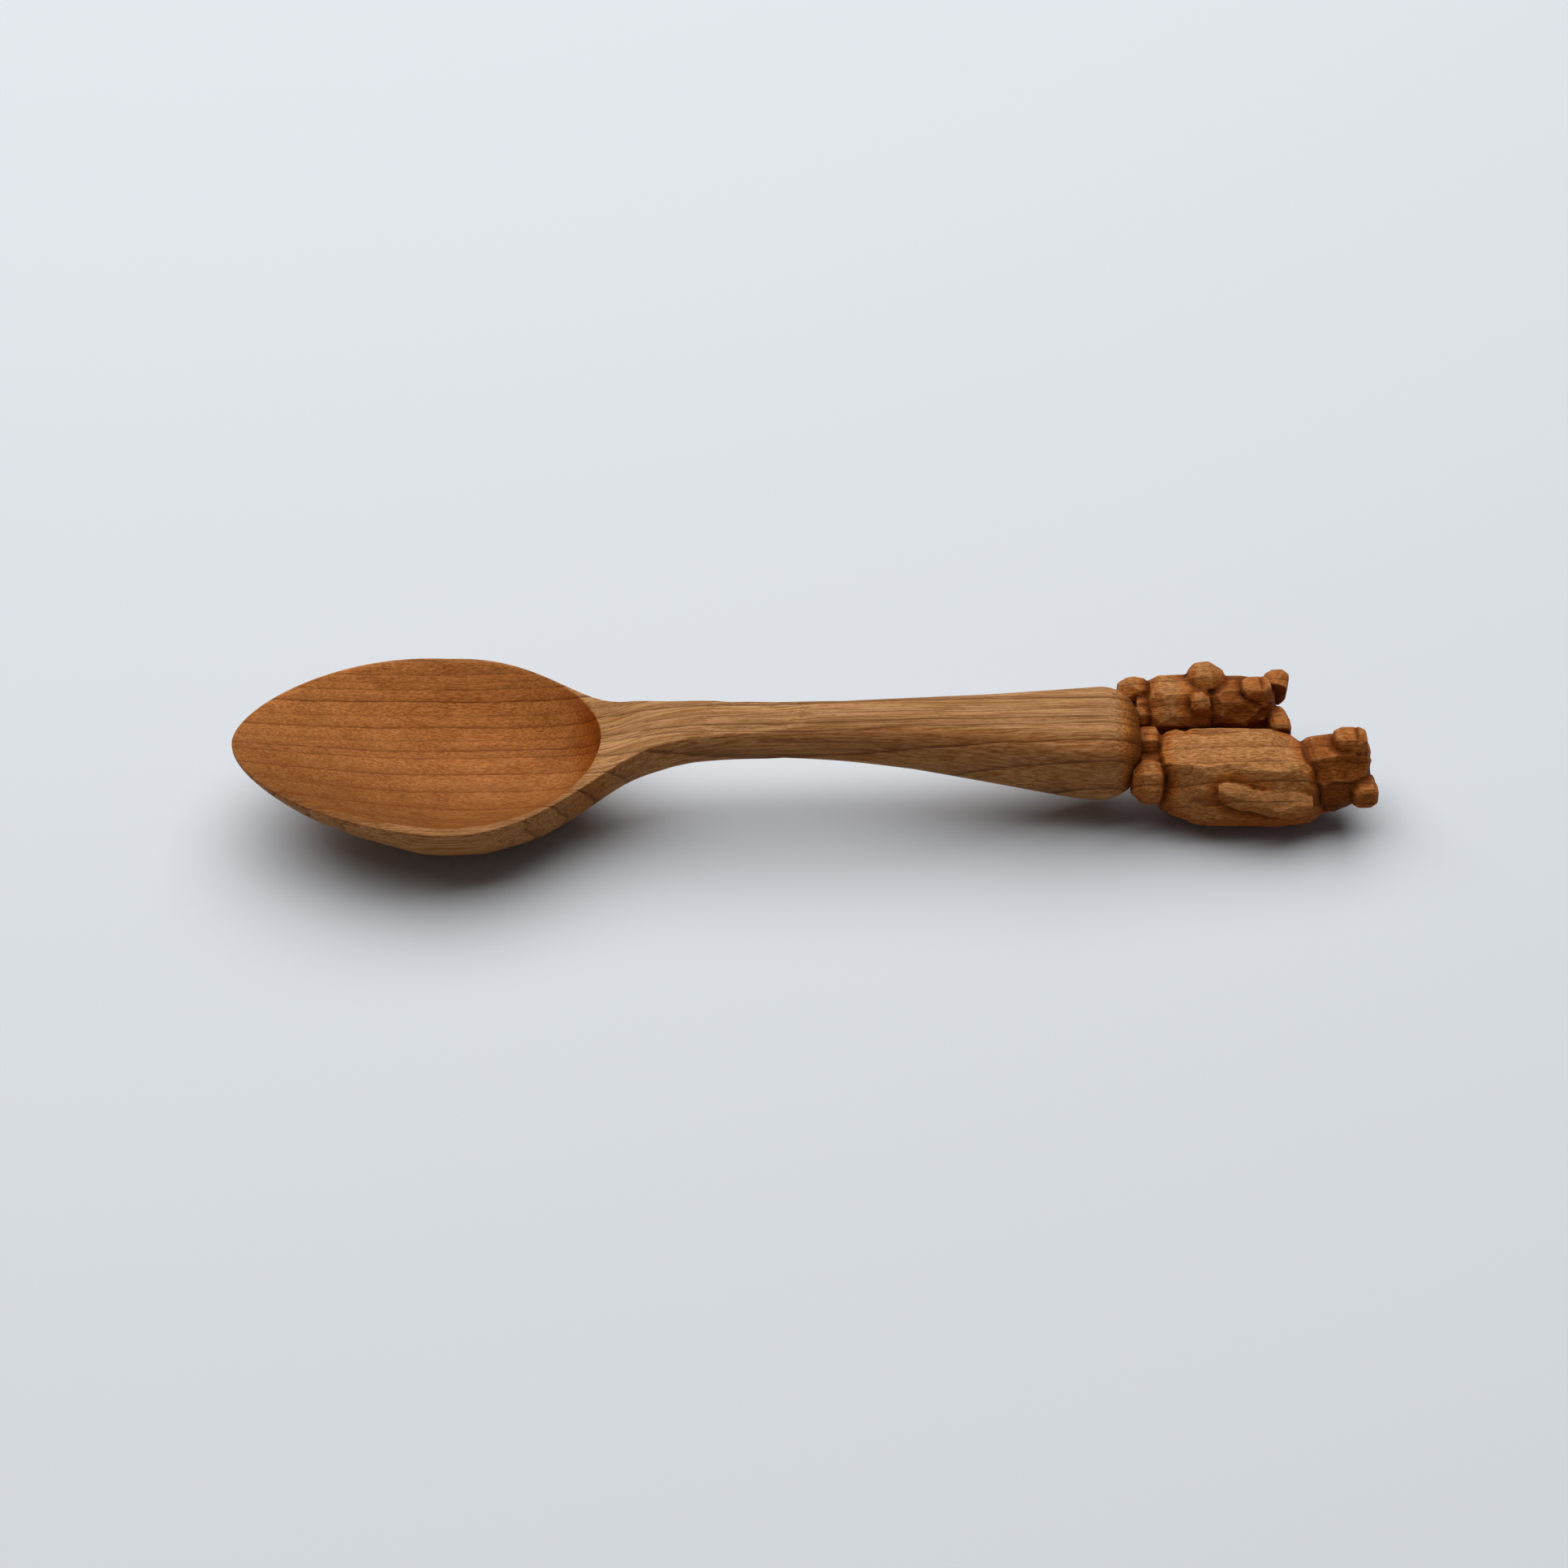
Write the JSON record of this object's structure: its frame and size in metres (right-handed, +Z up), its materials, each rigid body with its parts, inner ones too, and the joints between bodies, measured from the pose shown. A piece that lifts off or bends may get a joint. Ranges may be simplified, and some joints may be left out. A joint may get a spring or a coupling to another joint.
{
  "type": "carved wooden spoon",
  "caption": "Hand-carved wooden spoon with a pointed bowl, a whittled handle that flares to a rounded end, and a bear with her cub standing side by side on that end.",
  "frame": {"origin": "middle of the spoon's bounding box on the table it lies on", "axes": "+X along the spoon from the bowl's tip to the bears' ears, +Z up out of the hollow, +Y towards the cub's side"},
  "size_m": [0.2118, 0.0472, 0.0242],
  "materials": {
    "oiled_wood": "oiled, satin"
  },
  "bodies": {
    "root": {"bowl": "oiled_wood", "handle": "oiled_wood", "mother_body": "oiled_wood", "mother_head": "oiled_wood", "mother_muzzle": "oiled_wood", "mother_near_ear": "oiled_wood", "mother_far_ear": "oiled_wood", "mother_near_arm": "oiled_wood", "mother_near_foot": "oiled_wood", "mother_far_foot": "oiled_wood", "cub_body": "oiled_wood", "cub_head": "oiled_wood", "cub_muzzle": "oiled_wood", "cub_near_ear": "oiled_wood", "cub_far_ear": "oiled_wood", "cub_near_paw": "oiled_wood", "cub_far_paw": "oiled_wood", "cub_near_foot": "oiled_wood", "cub_far_foot": "oiled_wood"}
  },
  "joints": []
}
